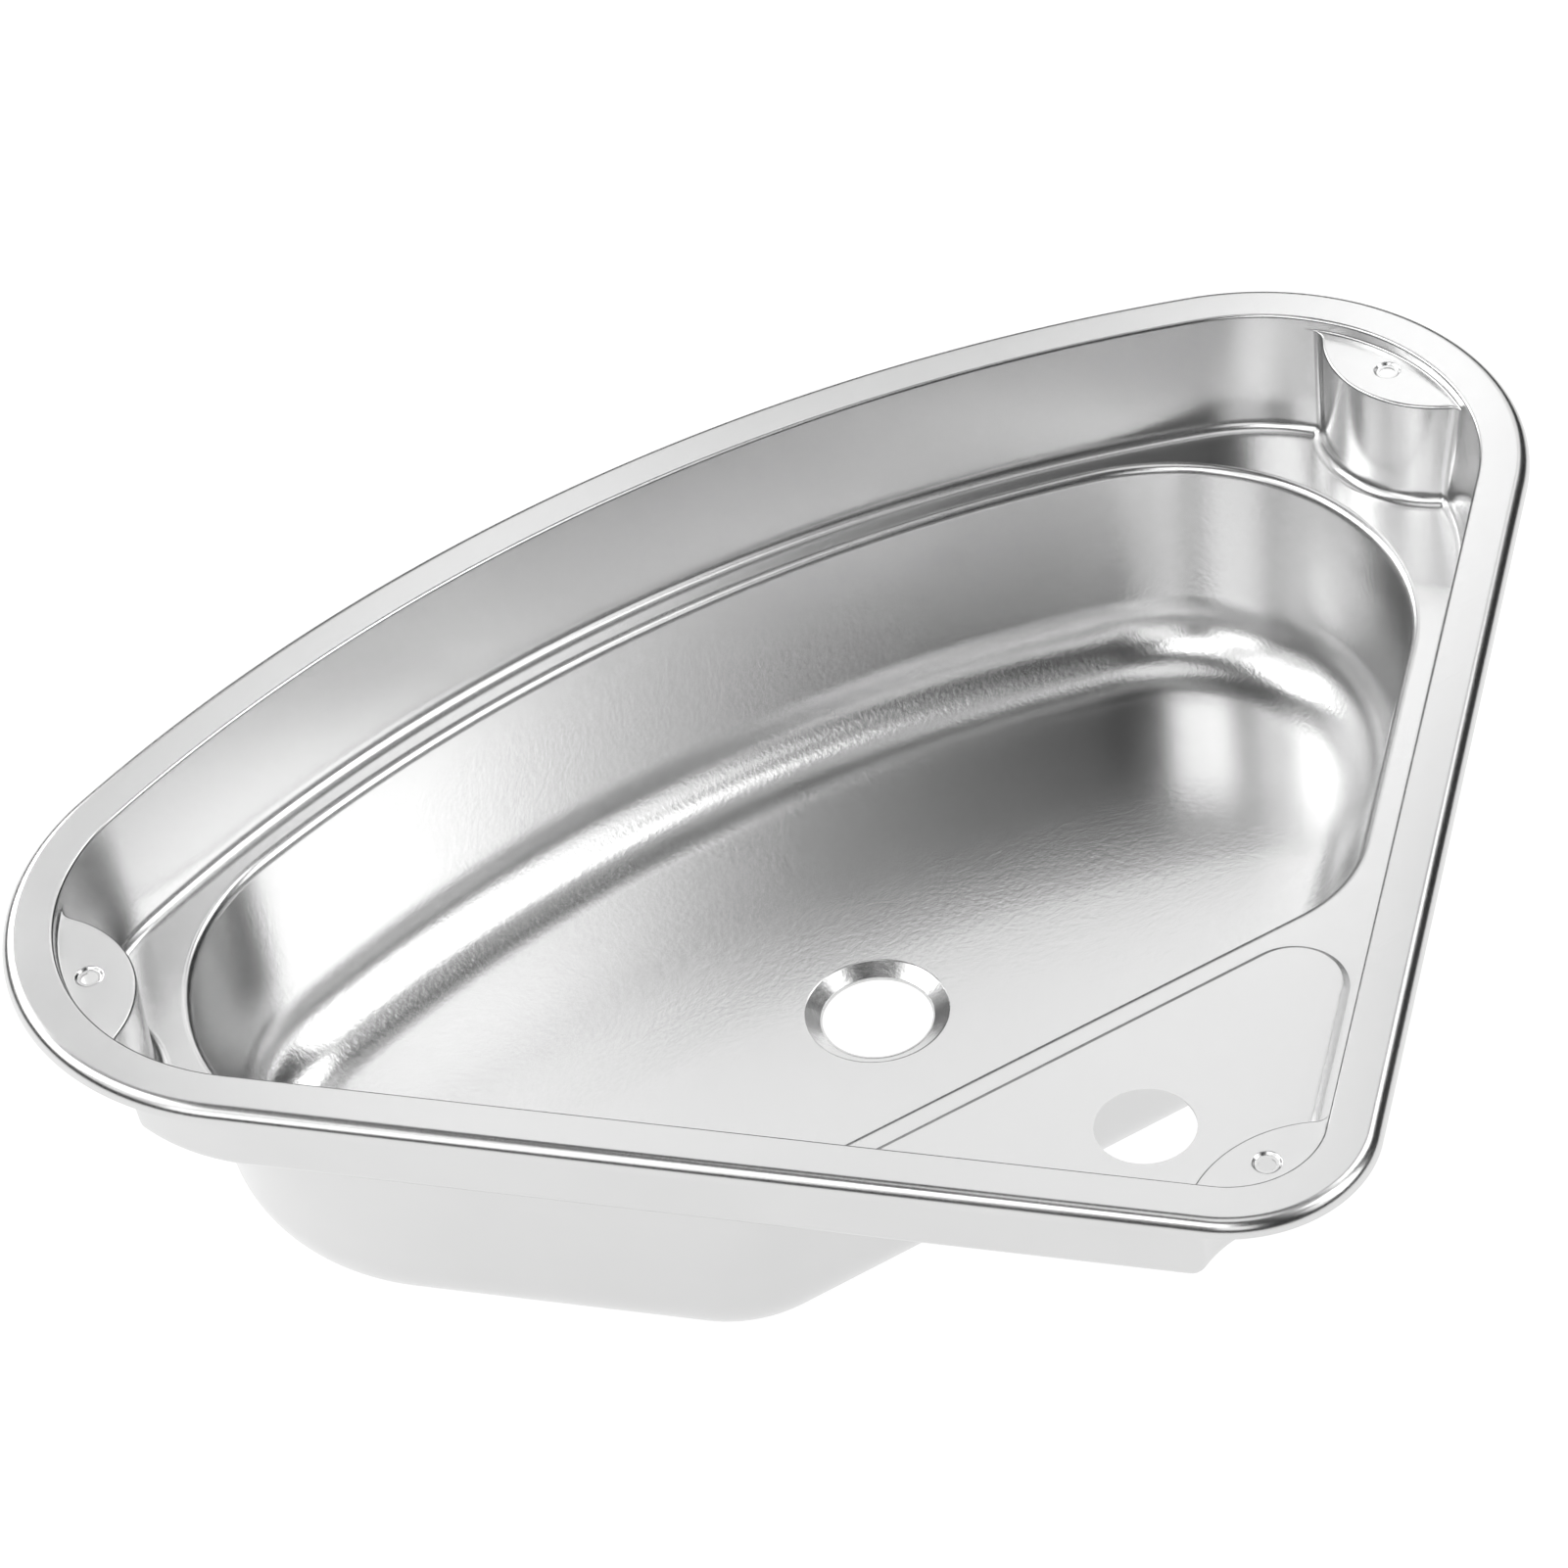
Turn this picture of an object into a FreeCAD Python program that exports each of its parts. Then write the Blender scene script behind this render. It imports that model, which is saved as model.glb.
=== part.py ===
import FreeCAD, Part
import math
import os
from types import SimpleNamespace
import Sketcher

# Corner kitchen sink: one deep-drawn stainless sheet and the sealing strip under its rolled edge.
#
# Everything is drawn in the corner frame: the two straight flange edges would meet at the origin, at
# the flange's top level; +Y runs along the diagonal into the room and +Z is up.  The finished pieces
# are then moved so that the part stands on z = 0 and is centred in X and Y.

# name, value in mm or degrees, what it is
SIZES = [
    ("gauge", 0.8, "thickness of the stainless sheet"),
    # flange outline, at the end of its flat
    ("corner_round", 45.2, "radius of the corner that points at the user"),
    ("end_round", 98.0, "radius of the two end corners"),
    ("bow_round", 626.8, "radius of the long bowed edge"),
    ("bow_depth", 474.5, "corner to the middle of the bowed edge, along the diagonal"),
    ("rim_round", 4.9, "outside radius of the rolled edge"),
    # upper basin
    ("mouth_inset", 13.4, "flange edge to the basin wall, at flange level"),
    ("mouth_round", 1.4, "radius where the flange turns down"),
    ("basin_draft", 6.0, "draft of the basin wall"),
    ("ledge_depth", 50.3, "flange down to the ledge"),
    ("foot_round", 5.0, "radius where the basin wall meets the ledge and the pillars"),
    # screw pads on their pillars
    ("pad_depth", 4.9, "flange down to the screw pads"),
    ("end_pillar_radius", 43.6, "radius of the end pillars"),
    ("end_pillar_out", 5.3, "end pillars' axes, outside the flange edge"),
    ("corner_pillar_radius", 46.6, "radius of the corner pillar"),
    ("corner_pillar_out", 9.7, "corner pillar's axis, outside the flange edge"),
    ("screw_hole", 6.0, "diameter of the screw holes"),
    ("dimple", 10.0, "diameter of the dimple round each screw hole"),
    ("dimple_depth", 0.9, "depth of the dimple"),
    ("dimple_draft", 45.0, "slope of the dimple's side from upright"),
    ("end_screw_in", 22.7, "end screw holes, inside the flange edge"),
    ("corner_screw_in", 24.2, "corner screw hole, inside the flange edge"),
    # tap platform
    ("platform_rise", 1.8, "height of the platform over the ledge"),
    ("platform_side_gap", 6.8, "basin wall to the platform, at ledge level"),
    ("platform_bowl_gap", 9.9, "bowl wall to the platform, at ledge level"),
    ("platform_pillar_gap", 10.3, "corner pillar to the platform"),
    ("platform_draft", 50.0, "slope of the platform's side from upright"),
    ("platform_soft", 1.3, "radius at the top and foot of that slope"),
    ("platform_end_round", 19.0, "radius of its two sharp corners"),
    ("tap_hole", 35.0, "diameter of the tap hole"),
    ("tap_set_back", 46.2, "tap hole's centre to the platform's bowl side"),
    # bowl
    ("ledge_side", 14.5, "width of the ledge along the straight sides, wall to wall"),
    ("ledge_bow", 12.2, "width of the ledge along the bowed side, wall to wall"),
    ("bowl_front", 171.9, "corner to the bowl's front wall, along the diagonal"),
    ("bowl_end_less", 5.5, "how much tighter the bowl's end corners are than the flange's"),
    ("bowl_front_round", 54.6, "radius of the bowl's front corners"),
    ("bowl_mouth_round", 4.0, "radius where the ledge turns into the bowl"),
    ("bowl_draft", 3.4, "draft of the bowl wall"),
    ("bowl_depth", 138.6, "flange down to the bowl floor"),
    ("bowl_floor_round", 29.5, "radius between wall and floor"),
    # waste
    ("waste_y", 298.5, "waste hole, along the diagonal"),
    ("waste_hole", 41.0, "diameter of the waste hole"),
    ("waste_dish", 6.4, "width of the dish round it"),
    ("waste_drop", 3.7, "depth of the dish"),
    ("waste_draft", 57.0, "slope of the dish from upright"),
    ("waste_soft", 1.6, "radius of the dish's upper edge"),
    # sealing strip
    ("seal_width", 8.0, "width of the sealing strip"),
    ("seal_gap", 0.4, "clearance between the strip and the start of the rolled edge"),
]


class Size:
    """A size that knows its formula in the sheet and its present number."""

    def __init__(self, text, number):
        self.text = text
        self.number = number

    def __add__(self, other):
        return Size("(%s + %s)" % (self.text, other.text), self.number + other.number)

    def __sub__(self, other):
        return Size("(%s - %s)" % (self.text, other.text), self.number - other.number)

    def __mul__(self, other):
        return Size("(%s * %s)" % (self.text, other.text), self.number * other.number)

    def __truediv__(self, other):
        return Size("(%s / %s)" % (self.text, other.text), self.number / other.number)

    def __neg__(self):
        return Size("(-1 * %s)" % self.text, -self.number)


def plain(number):
    return Size(repr(float(number)), float(number))


def cosine(angle):
    return Size("cos(%s)" % angle.text, math.cos(math.radians(angle.number)))


def tangent(angle):
    return Size("tan(%s)" % angle.text, math.tan(math.radians(angle.number)))


def root(size):
    return Size("sqrt(%s)" % size.text, math.sqrt(size.number))


doc = FreeCAD.newDocument("corner_sink")
sheet = doc.addObject("Spreadsheet::Sheet", "Sizes")
for row, (name, number, note) in enumerate(SIZES, start=1):
    sheet.set("A%d" % row, name)
    sheet.set("B%d" % row, str(number))
    sheet.set("C%d" % row, note)
    sheet.setAlias("B%d" % row, name)
doc.recompute()
s = SimpleNamespace(**{name: Size("Sizes." + name, number) for name, number, note in SIZES})

ZERO = plain(0)
ONE = plain(1)
TWO = plain(2)
ROOT2 = plain(math.sqrt(2))     # the straight edges run at 45 degrees to the diagonal
HALF_CORNER = math.radians(45)
FLAT = FreeCAD.Rotation()
UP = FreeCAD.Vector(0, 0, 1)
TINY = 0.001            # cubic millimetres
NEAR = 0.05             # millimetres, for picking edges
PILLAR_REACH = 2.0      # a pillar's corner starts this close to its circle


def bind(thing, prop, size):
    thing.setExpression(prop, size.text)


# the bowed edge's centre lies this far in front of the corner
BOW_CENTRE = s.bow_round - s.bow_depth

# the right end corner: its centre, and the direction of its middle seen from there
REACH = s.bow_round - s.end_round
OFFSET = ROOT2 * s.end_round + BOW_CENTRE
END_X = (root(TWO * REACH * REACH - OFFSET * OFFSET) - OFFSET) / TWO
END_Y = END_X + ROOT2 * s.end_round
ACROSS = END_X / REACH + ONE / ROOT2
ALONG = (END_Y + BOW_CENTRE) / REACH - ONE / ROOT2
SPAN = root(ACROSS * ACROSS + ALONG * ALONG)
MIDDLE_X = ACROSS / SPAN
MIDDLE_Y = ALONG / SPAN

# the rounded corner's flange edge, along the diagonal
CORNER_EDGE = s.corner_round * (ROOT2 - ONE)


def at_end(out):
    """A place on the right end corner's middle line, so far outside the flange edge."""
    reach = s.end_round + out
    return END_X + reach * MIDDLE_X, END_Y + reach * MIDDLE_Y


PILLAR_X, PILLAR_Y = at_end(s.end_pillar_out)
SCREW_X, SCREW_Y = at_end(-s.end_screw_in)
CORNER_PILLAR_Y = CORNER_EDGE - s.corner_pillar_out
PILLARS = [
    (PILLAR_X, PILLAR_Y, s.end_pillar_radius),
    (-PILLAR_X, PILLAR_Y, s.end_pillar_radius),
    (ZERO, CORNER_PILLAR_Y, s.corner_pillar_radius),
]
SCREWS = [
    (SCREW_X, SCREW_Y),
    (-SCREW_X, SCREW_Y),
    (ZERO, CORNER_EDGE + s.corner_screw_in),
]

# the ledge: where the basin wall meets it, and what stands on it or opens in it
WALL_FOOT = s.mouth_inset + s.ledge_depth * tangent(s.basin_draft)
BOWL_SIDE = WALL_FOOT + s.ledge_side
BOWL_BOW = WALL_FOOT + s.ledge_bow
BOWL_END = s.end_round - s.bowl_end_less
PLATFORM_SIDE = WALL_FOOT + s.platform_side_gap
PLATFORM_FRONT = s.bowl_front - s.platform_bowl_gap
PLATFORM_TIP = CORNER_PILLAR_Y + s.corner_pillar_radius + s.platform_pillar_gap
PLATFORM_CORNER = (PLATFORM_TIP - ROOT2 * PLATFORM_SIDE) / (ROOT2 - ONE)
TAP_Y = PLATFORM_FRONT - s.tap_set_back

# a finished piece stands on z = 0, centred between the corner and the bowed edge
HALF_DEPTH = (CORNER_EDGE + s.bow_depth) / TWO
HEIGHT = s.bowl_depth + s.waste_drop + s.gauge


def new_body(name):
    body = doc.addObject("PartDesign::Body", name)
    body.Label = name
    return body


def finished_body(name):
    body = new_body(name)
    bind(body, "Placement.Base.y", -HALF_DEPTH)
    bind(body, "Placement.Base.z", HEIGHT)
    doc.recompute()
    return body


def new_sketch(body, name, level):
    """A sketch on the body's XY plane, lifted to a level."""
    sketch = body.newObject("Sketcher::SketchObject", name)
    plane = [f for f in body.Origin.OriginFeatures if f.Role == "XY_Plane"][0]
    sketch.AttachmentSupport = [(plane, "")]
    sketch.MapMode = "FlatFace"
    sketch.AttachmentOffset = FreeCAD.Placement(FreeCAD.Vector(0, 0, level.number), FLAT)
    bind(sketch, "AttachmentOffset.Base.z", level)
    return sketch


def hold(sketch, kind, *args):
    """A dimension whose last argument is a Size."""
    size = args[-1]
    index = sketch.addConstraint(Sketcher.Constraint(kind, *args[:-1], size.number))
    bind(sketch, "Constraints[%d]" % index, size)


def arc(cx, cy, radius, start, end):
    circle = Part.Circle(FreeCAD.Vector(cx, cy, 0), UP, radius)
    return Part.ArcOfCircle(circle, start, end)


def tangent_loop(sketch, pieces):
    """Pieces drawn counterclockwise, each tangent to the next."""
    ids = [sketch.addGeometry(piece, False) for piece in pieces]
    for here, after in zip(ids, ids[1:] + ids[:1]):
        sketch.addConstraint(Sketcher.Constraint("Tangent", here, 2, after, 1))
    return ids


def side_lines(sketch, right, left, reach):
    """Both straight sides at 45 degrees, at one distance from a point."""
    sketch.addConstraint(Sketcher.Constraint("Angle", right, HALF_CORNER))
    sketch.addConstraint(Sketcher.Constraint("Angle", left, -HALF_CORNER))
    for line in (right, left):
        hold(sketch, "Distance", reach[0], reach[1], line, reach[2])


def mirrored(point):
    return FreeCAD.Vector(-point.x, point.y, 0)


def sink_loop(sketch, side, bow, end, corner=None, front=None, front_round=None):
    """The sink's outline: two straight sides, end corners and a bowed edge.

    side is the straight sides' distance from the origin, bow and end are radii.  The sides meet in a
    rounded corner, or are cut by a straight front between two rounded corners.
    """
    root2 = ROOT2.number
    quarter = HALF_CORNER
    centre = BOW_CENTRE.number
    diagonal = root2 * (side.number + end.number)
    reach = bow.number - end.number
    end_x = (math.sqrt(2 * reach ** 2 - (diagonal + centre) ** 2) - diagonal - centre) / 2
    end_y = end_x + diagonal
    turn = math.atan2(end_y + centre, end_x)
    step = end.number / root2
    side_end = FreeCAD.Vector(end_x + step, end_y - step, 0)
    if front is None:
        low_x = 0.0
        low_y = root2 * (side.number + corner.number)
        low_round = corner.number
    else:
        low_round = front_round.number
        low_y = front.number + low_round
        low_x = low_y - root2 * (side.number + low_round)
    drop = low_round / root2
    side_start = FreeCAD.Vector(low_x + drop, low_y - drop, 0)
    pieces = [
        Part.LineSegment(side_start, side_end),
        arc(end_x, end_y, end.number, -quarter, turn),
        arc(0, -centre, bow.number, turn, math.pi - turn),
        arc(-end_x, end_y, end.number, math.pi - turn, 5 * quarter),
        Part.LineSegment(mirrored(side_end), mirrored(side_start)),
    ]
    if front is None:
        pieces.append(arc(0, low_y, low_round, 5 * quarter, 7 * quarter))
    else:
        pieces.append(arc(-low_x, low_y, low_round, 5 * quarter, 6 * quarter))
        front_end = FreeCAD.Vector(low_x, front.number, 0)
        pieces.append(Part.LineSegment(mirrored(front_end), front_end))
        pieces.append(arc(low_x, low_y, low_round, 6 * quarter, 7 * quarter))
    ids = tangent_loop(sketch, pieces)
    right, end_right, top, end_left, left = ids[:5]
    sketch.addConstraint(Sketcher.Constraint("PointOnObject", top, 3, -2))
    hold(sketch, "DistanceY", top, 3, -1, 1, BOW_CENTRE)
    hold(sketch, "Radius", top, bow)
    hold(sketch, "Radius", end_right, end)
    hold(sketch, "Radius", end_left, end)
    side_lines(sketch, right, left, (top, 3, BOW_CENTRE / ROOT2 + side))
    if front is None:
        hold(sketch, "Radius", ids[5], corner)
    else:
        hold(sketch, "Radius", ids[5], front_round)
        hold(sketch, "Radius", ids[7], front_round)
        sketch.addConstraint(Sketcher.Constraint("Horizontal", ids[6]))
        hold(sketch, "DistanceY", -1, 1, ids[6], 1, front)


def inset_outline(sketch, inset):
    """The flange outline moved inwards, or outwards if negative."""
    sink_loop(sketch, inset, s.bow_round - inset, s.end_round - inset, corner=s.corner_round - inset)


def platform_loop(sketch, inset, front, end_round, corner_round):
    """A triangle with rounded corners, sides parallel to the straight flange edges."""
    root2 = ROOT2.number
    quarter = HALF_CORNER
    low_y = root2 * (inset.number + corner_round.number)
    low_step = corner_round.number / root2
    top_y = front.number - end_round.number
    top_x = top_y - root2 * (inset.number + end_round.number)
    top_step = end_round.number / root2
    start = FreeCAD.Vector(low_step, low_y - low_step, 0)
    stop = FreeCAD.Vector(top_x + top_step, top_y - top_step, 0)
    front_end = FreeCAD.Vector(top_x, front.number, 0)
    ids = tangent_loop(sketch, [
        Part.LineSegment(start, stop),
        arc(top_x, top_y, end_round.number, -quarter, 2 * quarter),
        Part.LineSegment(front_end, mirrored(front_end)),
        arc(-top_x, top_y, end_round.number, 2 * quarter, 5 * quarter),
        Part.LineSegment(mirrored(stop), mirrored(start)),
        arc(0, low_y, corner_round.number, 5 * quarter, 7 * quarter),
    ])
    side_lines(sketch, ids[0], ids[4], (-1, 1, inset))
    hold(sketch, "Radius", ids[1], end_round)
    hold(sketch, "Radius", ids[3], end_round)
    hold(sketch, "Radius", ids[5], corner_round)
    sketch.addConstraint(Sketcher.Constraint("Horizontal", ids[2]))
    hold(sketch, "DistanceY", -1, 1, ids[2], 1, front)


def place(sketch, index, x, y):
    """Holds the centre of a circle or arc."""
    if x is ZERO:
        sketch.addConstraint(Sketcher.Constraint("PointOnObject", index, 3, -2))
    elif x.number > 0:
        hold(sketch, "DistanceX", -1, 1, index, 3, x)
    else:
        hold(sketch, "DistanceX", index, 3, -1, 1, -x)
    hold(sketch, "DistanceY", -1, 1, index, 3, y)


def circles(sketch, places):
    """Circles given as x, y and radius."""
    for x, y, radius in places:
        circle = Part.Circle(FreeCAD.Vector(x.number, y.number, 0), UP, radius.number)
        index = sketch.addGeometry(circle, False)
        hold(sketch, "Radius", index, radius)
        place(sketch, index, x, y)


def pillar_loop(sketch, x, y, radius):
    """A circle in two halves that part outside the basin: no seam crosses the pillar's face."""
    level = "Horizontal" if x is ZERO else "Vertical"
    start = 0 if x is ZERO else 2 * HALF_CORNER
    middle = start + 4 * HALF_CORNER
    one = sketch.addGeometry(arc(x.number, y.number, radius.number, start, middle), False)
    other = sketch.addGeometry(arc(x.number, y.number, radius.number, middle, middle + 4 * HALF_CORNER), False)
    sketch.addConstraint(Sketcher.Constraint("Tangent", one, 2, other, 1))
    sketch.addConstraint(Sketcher.Constraint("Coincident", other, 2, one, 1))
    sketch.addConstraint(Sketcher.Constraint(level, one, 1, one, 3))
    sketch.addConstraint(Sketcher.Constraint(level, one, 2, one, 3))
    hold(sketch, "Radius", one, radius)
    place(sketch, one, x, y)


def extrude(body, kind, name, sketch, length, taper=None, up=False):
    """A Pad or Pocket from its sketch, downwards unless up is set."""
    feature = body.newObject("PartDesign::" + kind, name)
    feature.Profile = sketch
    feature.Refine = False
    sketch.Visibility = False
    feature.Length = length.number
    bind(feature, "Length", length)
    feature.Reversed = (kind == "Pad") != up
    if taper is not None:
        feature.TaperAngle = taper.number
        bind(feature, "TaperAngle", taper)
    before = 0.0 if feature.BaseFeature is None else feature.BaseFeature.Shape.Volume
    doc.recompute()
    gained = feature.Shape.Volume - before
    if abs(gained) < TINY or (gained > 0) != (kind == "Pad"):
        raise ValueError(name + " changed nothing")


def round_edges(body, name, radius, wanted):
    """A fillet on every edge of the body's tip that wanted() picks."""
    base = body.Tip
    names = []
    for i, edge in enumerate(base.Shape.Edges, start=1):
        faces = base.Shape.ancestorsOfType(edge, Part.Face)
        if wanted(edge) and not any(edge.isSeam(face) for face in faces):
            names.append("Edge%d" % i)
    fillet = body.newObject("PartDesign::Fillet", name)
    fillet.Base = (base, names)
    fillet.Radius = radius.number
    fillet.Refine = False
    bind(fillet, "Radius", radius)
    doc.recompute()


def level_of(edge):
    """The edge's height if it lies flat, else None."""
    box = edge.BoundBox
    return box.ZMax if box.ZLength < NEAR else None


def at_level(depth):
    """Picks the flat edges at a depth under the flange's top."""
    return lambda edge: level_of(edge) is not None and abs(level_of(edge) + depth.number) < NEAR


def radius_about(point, x, y):
    return math.hypot(point.x - x.number, point.y - y.number)


def side_gap(vertex):
    """How far a vertex lies inside the nearer straight flange edge."""
    return (vertex.Y - abs(vertex.X)) / ROOT2.number


def hollow_form(name, grow):
    """The air inside the sink as a solid, grown on every side but the top.

    Grown by nothing it is the sheet's upper surface, grown by the gauge it is the lower one.
    """
    body = new_body(name)
    ledge = s.ledge_depth + grow
    pad = s.pad_depth + grow
    platform = s.ledge_depth - s.platform_rise + grow
    floor = s.bowl_depth + grow

    # upper basin
    wall = grow / cosine(s.basin_draft)
    sketch = new_sketch(body, name + "_basin_outline", ZERO)
    inset_outline(sketch, s.mouth_inset - wall)
    extrude(body, "Pad", name + "_basin", sketch, ledge, taper=-s.basin_draft)

    # pillars stand up into the basin as far as the pads
    sketch = new_sketch(body, name + "_pillar_circles", -pad)
    for x, y, radius in PILLARS:
        pillar_loop(sketch, x, y, radius - grow)
    extrude(body, "Pocket", name + "_pillars", sketch, ledge)

    def basin_foot(edge):
        if at_level(ledge)(edge):
            return True
        gaps = [abs(radius_about(v.Point, x, y) - radius.number)
                for v in edge.Vertexes for x, y, radius in PILLARS]
        return edge.BoundBox.ZLength > (ledge - pad).number - NEAR and min(gaps) < PILLAR_REACH

    round_edges(body, name + "_foot", s.foot_round + grow, basin_foot)

    # tap platform stands up from the ledge
    spread = tangent(s.platform_draft)
    side = grow / cosine(s.platform_draft)
    sketch = new_sketch(body, name + "_platform_outline", -platform)
    top = s.platform_rise * spread + side
    platform_loop(sketch, PLATFORM_SIDE + top, PLATFORM_FRONT - top,
                  s.platform_end_round - top, PLATFORM_CORNER - top)
    extrude(body, "Pocket", name + "_platform", sketch, s.platform_rise, taper=s.platform_draft)
    round_edges(body, name + "_platform_top", s.platform_soft - grow, at_level(platform))

    def on_platform(edge):
        inside = [side_gap(v) > PLATFORM_SIDE.number - NEAR
                  and v.Y < PLATFORM_FRONT.number + NEAR for v in edge.Vertexes]
        return at_level(ledge)(edge) and all(inside)

    round_edges(body, name + "_platform_foot", s.platform_soft + grow, on_platform)

    # bowl
    slope = tangent(s.bowl_draft)
    wall = grow / cosine(s.bowl_draft) - grow * slope
    sides = BOWL_SIDE - wall
    bow = s.bow_round - BOWL_BOW + wall
    front = s.bowl_front - wall
    sketch = new_sketch(body, name + "_bowl_outline", -ledge)
    sink_loop(sketch, sides, bow, BOWL_END + wall, front=front, front_round=s.bowl_front_round + wall)
    extrude(body, "Pad", name + "_bowl", sketch, s.bowl_depth - s.ledge_depth, taper=-s.bowl_draft)
    round_edges(body, name + "_bowl_floor", s.bowl_floor_round + grow, at_level(floor))

    def bowl_mouth(edge):
        inside = [side_gap(v) > sides.number - NEAR
                  and v.Y > front.number - NEAR
                  and radius_about(v.Point, ZERO, -BOW_CENTRE) < bow.number + NEAR for v in edge.Vertexes]
        return at_level(ledge)(edge) and edge.Length > NEAR and all(inside)

    round_edges(body, name + "_bowl_mouth", s.bowl_mouth_round - grow, bowl_mouth)

    # dish round the waste hole
    side = grow / cosine(s.waste_draft) - grow * tangent(s.waste_draft)
    dish = s.waste_hole / TWO + s.waste_dish + side
    sketch = new_sketch(body, name + "_dish_circle", -floor)
    circles(sketch, [(ZERO, s.waste_y, dish)])
    extrude(body, "Pad", name + "_dish", sketch, s.waste_drop, taper=-s.waste_draft)

    def dish_edge(edge):
        start = edge.Vertexes[0].Point
        return at_level(floor)(edge) and radius_about(start, ZERO, s.waste_y) < dish.number + NEAR

    round_edges(body, name + "_dish_edge", s.waste_soft - grow, dish_edge)

    # dimples round the screw holes
    side = grow / cosine(s.dimple_draft) - grow * tangent(s.dimple_draft)
    sketch = new_sketch(body, name + "_dimple_circles", -pad)
    circles(sketch, [(x, y, s.dimple / TWO + side) for x, y in SCREWS])
    extrude(body, "Pad", name + "_dimples", sketch, s.dimple_depth, taper=-s.dimple_draft)
    return body


upper_side = hollow_form("upper_side", ZERO)
lower_side = hollow_form("lower_side", s.gauge)

# the pressing: a cap with a rolled edge, joined to the lower side and hollowed by the upper side
pressing = finished_body("sink_pressing")
rim_depth = s.pad_depth + s.gauge       # the rolled edge reaches down to the pads' undersides
sketch = new_sketch(pressing, "rim_outline", ZERO)
inset_outline(sketch, -s.rim_round)
extrude(pressing, "Pad", "rim_block", sketch, rim_depth)
sketch = new_sketch(pressing, "rim_inside_outline", -rim_depth)
inset_outline(sketch, s.gauge - s.rim_round)
extrude(pressing, "Pocket", "rim_hollow", sketch, rim_depth - s.gauge, up=True)
round_edges(pressing, "rim_inside_roll", s.rim_round - s.gauge, at_level(s.gauge))
round_edges(pressing, "rim_roll", s.rim_round, at_level(ZERO))


def combine(body, name, kind, tool):
    feature = body.newObject("PartDesign::Boolean", name)
    feature.Type = kind
    feature.Group = [tool]
    body.Tip = feature
    doc.recompute()


combine(pressing, "joined", "Fuse", lower_side)
round_edges(pressing, "mouth_underside", s.mouth_round - s.gauge, at_level(s.gauge))
combine(pressing, "hollowed", "Cut", upper_side)


def mouth(edge):
    ends = [radius_about(v.Point, ZERO, -BOW_CENTRE) for v in edge.Vertexes]
    return at_level(ZERO)(edge) and max(ends) < (s.bow_round - s.mouth_inset).number + NEAR


round_edges(pressing, "mouth_edge", s.mouth_round, mouth)

sketch = new_sketch(pressing, "hole_circles", ZERO)
circles(sketch, [(ZERO, TAP_Y, s.tap_hole / TWO), (ZERO, s.waste_y, s.waste_hole / TWO)]
        + [(x, y, s.screw_hole / TWO) for x, y in SCREWS])
extrude(pressing, "Pocket", "holes", sketch, s.bowl_depth * TWO)

# the sealing strip: a closed band stuck under the flange, level with the rolled edge
seal = finished_body("rim_seal")
sketch = new_sketch(seal, "seal_outside", -s.gauge)
inset_outline(sketch, s.seal_gap)
extrude(seal, "Pad", "seal_block", sketch, rim_depth - s.gauge)
sketch = new_sketch(seal, "seal_inside", -s.gauge)
inset_outline(sketch, s.seal_gap + s.seal_width)
extrude(seal, "Pocket", "seal_opening", sketch, rim_depth)

for thing in doc.Objects:
    if "Invalid" in thing.State or "Error" in thing.State:
        raise ValueError("%s: %s" % (thing.Name, thing.State))
os.makedirs("parts", exist_ok=True)
for body in (pressing, seal):
    shape = body.Shape
    if shape.isNull() or not shape.isValid() or len(shape.Solids) != 1:
        raise ValueError(body.Label + " is not one sound solid")
    shape.exportStep("parts/%s.step" % body.Label)
    print(body.Label, "%.0f mm3" % shape.Volume, shape.BoundBox)
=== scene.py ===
# %% [markdown]
# # A corner kitchen sink in satin stainless steel
# The sink is one deep-drawn sheet of steel with a rubber strip stuck under its edge. The measured
# model has the shape, so this lesson is about three things: rows of faces even enough for steel,
# making steel look like steel, and lighting it softly.

# %% Load the measured model
import bpy
import bmesh
import math
from mathutils import Matrix, Vector


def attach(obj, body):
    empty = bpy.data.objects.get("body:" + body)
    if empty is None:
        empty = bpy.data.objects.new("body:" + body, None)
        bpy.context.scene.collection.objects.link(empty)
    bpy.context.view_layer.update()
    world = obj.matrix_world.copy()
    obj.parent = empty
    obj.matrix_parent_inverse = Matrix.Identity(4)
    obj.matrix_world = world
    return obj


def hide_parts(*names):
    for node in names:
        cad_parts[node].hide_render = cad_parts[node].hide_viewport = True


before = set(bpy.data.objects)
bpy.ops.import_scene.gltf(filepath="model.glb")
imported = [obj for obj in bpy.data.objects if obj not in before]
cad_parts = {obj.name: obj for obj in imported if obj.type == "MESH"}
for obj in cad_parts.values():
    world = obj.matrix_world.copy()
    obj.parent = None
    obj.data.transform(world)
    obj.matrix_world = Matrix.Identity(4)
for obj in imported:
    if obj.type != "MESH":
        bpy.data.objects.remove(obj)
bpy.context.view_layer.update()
MM = 0.001
print("nodes:", sorted(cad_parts))

# %% [markdown]
# ## The camera
# The photograph looks down on the sink from its front left at about 42 degrees with a long lens.
# A camera could be aimed at a target with a constraint, but here it also leans a little to one side,
# so its three axes are worked out and put in its matrix.

# %% Place the camera
VIEW_TURN = math.radians(-26.88)
VIEW_TILT = math.radians(41.81)
VIEW_ROLL = math.radians(-6.8)
VIEW_PLACE = Vector((-0.68084, -1.23802, 1.42522))
LENS = 126.9            # mm, on a sensor 36 mm wide

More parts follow.
